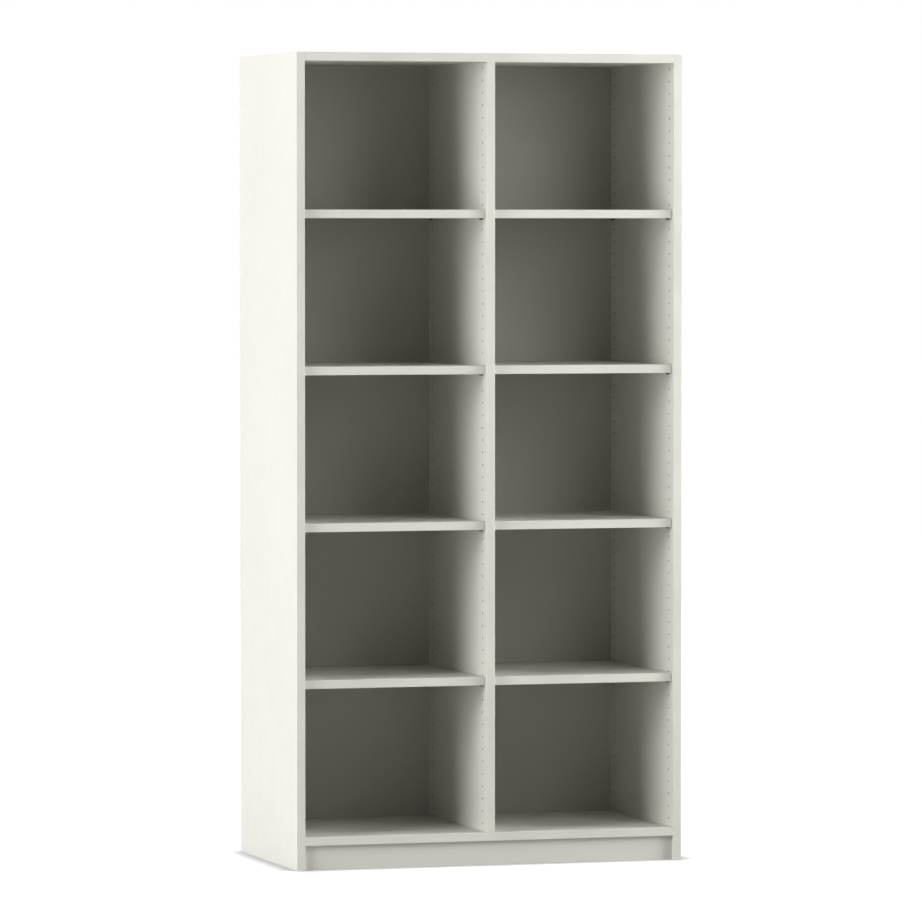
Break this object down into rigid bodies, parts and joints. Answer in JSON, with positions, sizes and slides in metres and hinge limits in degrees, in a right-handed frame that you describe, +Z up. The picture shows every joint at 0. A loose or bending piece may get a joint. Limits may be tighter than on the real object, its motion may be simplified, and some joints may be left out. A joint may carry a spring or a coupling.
{
  "type": "bookcase",
  "caption": "Tall white open bookcase with two bays of adjustable shelves on drilled rows, a recessed plinth and inset back panels.",
  "frame": {"origin": "middle of the footprint, on the floor", "axes": "+Z up; the open front faces -Y; +X to the right of someone who faces the front"},
  "size_m": [1.04, 0.55, 2.095],
  "materials": {
    "white_board": "matt warm white melamine with a fine pearl grain",
    "white_back_board": "smooth matt warm white foil",
    "edge_band": "matt warm white plastic edging",
    "support_steel": "nickel plated",
    "lock_zinc": "die-cast zinc, matt",
    "fixing_steel": "zinc plated",
    "dowel_beech": "plain beech"
  },
  "bodies": {
    "carcass": {"left_side_panel": "white_board", "right_side_panel": "white_board", "top_panel": "white_board", "bottom_panel": "white_board", "centre_divider": "white_board", "plinth_board": "white_board", "rear_plinth_rail": "white_board", "plinth_bearer": "white_board", "left_back_panel": "white_back_board", "right_back_panel": "white_back_board", "left_side_edge_band": "edge_band", "right_side_edge_band": "edge_band", "top_edge_band": "edge_band", "bottom_edge_band": "edge_band", "divider_edge_band": "edge_band", "left_shelf_1_supports": "support_steel", "left_shelf_2_supports": "support_steel", "left_shelf_3_supports": "support_steel", "left_shelf_4_supports": "support_steel", "right_shelf_1_supports": "support_steel", "right_shelf_2_supports": "support_steel", "right_shelf_3_supports": "support_steel", "right_shelf_4_supports": "support_steel", "top_cam_locks": "lock_zinc", "bottom_cam_locks": "lock_zinc", "top_cam_bolts": "fixing_steel", "bottom_cam_bolts": "fixing_steel", "top_dowels": "dowel_beech", "bottom_dowels": "dowel_beech", "divider_dowels": "dowel_beech", "plinth_dowels": "dowel_beech", "bearer_dowels": "dowel_beech", "divider_screws": "fixing_steel"},
    "left_shelf_1": {"left_shelf_1": "white_board", "left_shelf_1_edge_band": "edge_band"},
    "left_shelf_2": {"left_shelf_2": "white_board", "left_shelf_2_edge_band": "edge_band"},
    "left_shelf_3": {"left_shelf_3": "white_board", "left_shelf_3_edge_band": "edge_band"},
    "left_shelf_4": {"left_shelf_4": "white_board", "left_shelf_4_edge_band": "edge_band"},
    "right_shelf_1": {"right_shelf_1": "white_board", "right_shelf_1_edge_band": "edge_band"},
    "right_shelf_2": {"right_shelf_2": "white_board", "right_shelf_2_edge_band": "edge_band"},
    "right_shelf_3": {"right_shelf_3": "white_board", "right_shelf_3_edge_band": "edge_band"},
    "right_shelf_4": {"right_shelf_4": "white_board", "right_shelf_4_edge_band": "edge_band"}
  },
  "joints": [
    {"name": "left_shelf_1_draw", "type": "slide", "parent": "carcass", "child": "left_shelf_1", "axis": [0, -1, 0], "range_m": [0, 0.52]},
    {"name": "left_shelf_2_draw", "type": "slide", "parent": "carcass", "child": "left_shelf_2", "axis": [0, -1, 0], "range_m": [0, 0.52]},
    {"name": "left_shelf_3_draw", "type": "slide", "parent": "carcass", "child": "left_shelf_3", "axis": [0, -1, 0], "range_m": [0, 0.52]},
    {"name": "left_shelf_4_draw", "type": "slide", "parent": "carcass", "child": "left_shelf_4", "axis": [0, -1, 0], "range_m": [0, 0.52]},
    {"name": "right_shelf_1_draw", "type": "slide", "parent": "carcass", "child": "right_shelf_1", "axis": [0, -1, 0], "range_m": [0, 0.52]},
    {"name": "right_shelf_2_draw", "type": "slide", "parent": "carcass", "child": "right_shelf_2", "axis": [0, -1, 0], "range_m": [0, 0.52]},
    {"name": "right_shelf_3_draw", "type": "slide", "parent": "carcass", "child": "right_shelf_3", "axis": [0, -1, 0], "range_m": [0, 0.52]},
    {"name": "right_shelf_4_draw", "type": "slide", "parent": "carcass", "child": "right_shelf_4", "axis": [0, -1, 0], "range_m": [0, 0.52]}
  ]
}
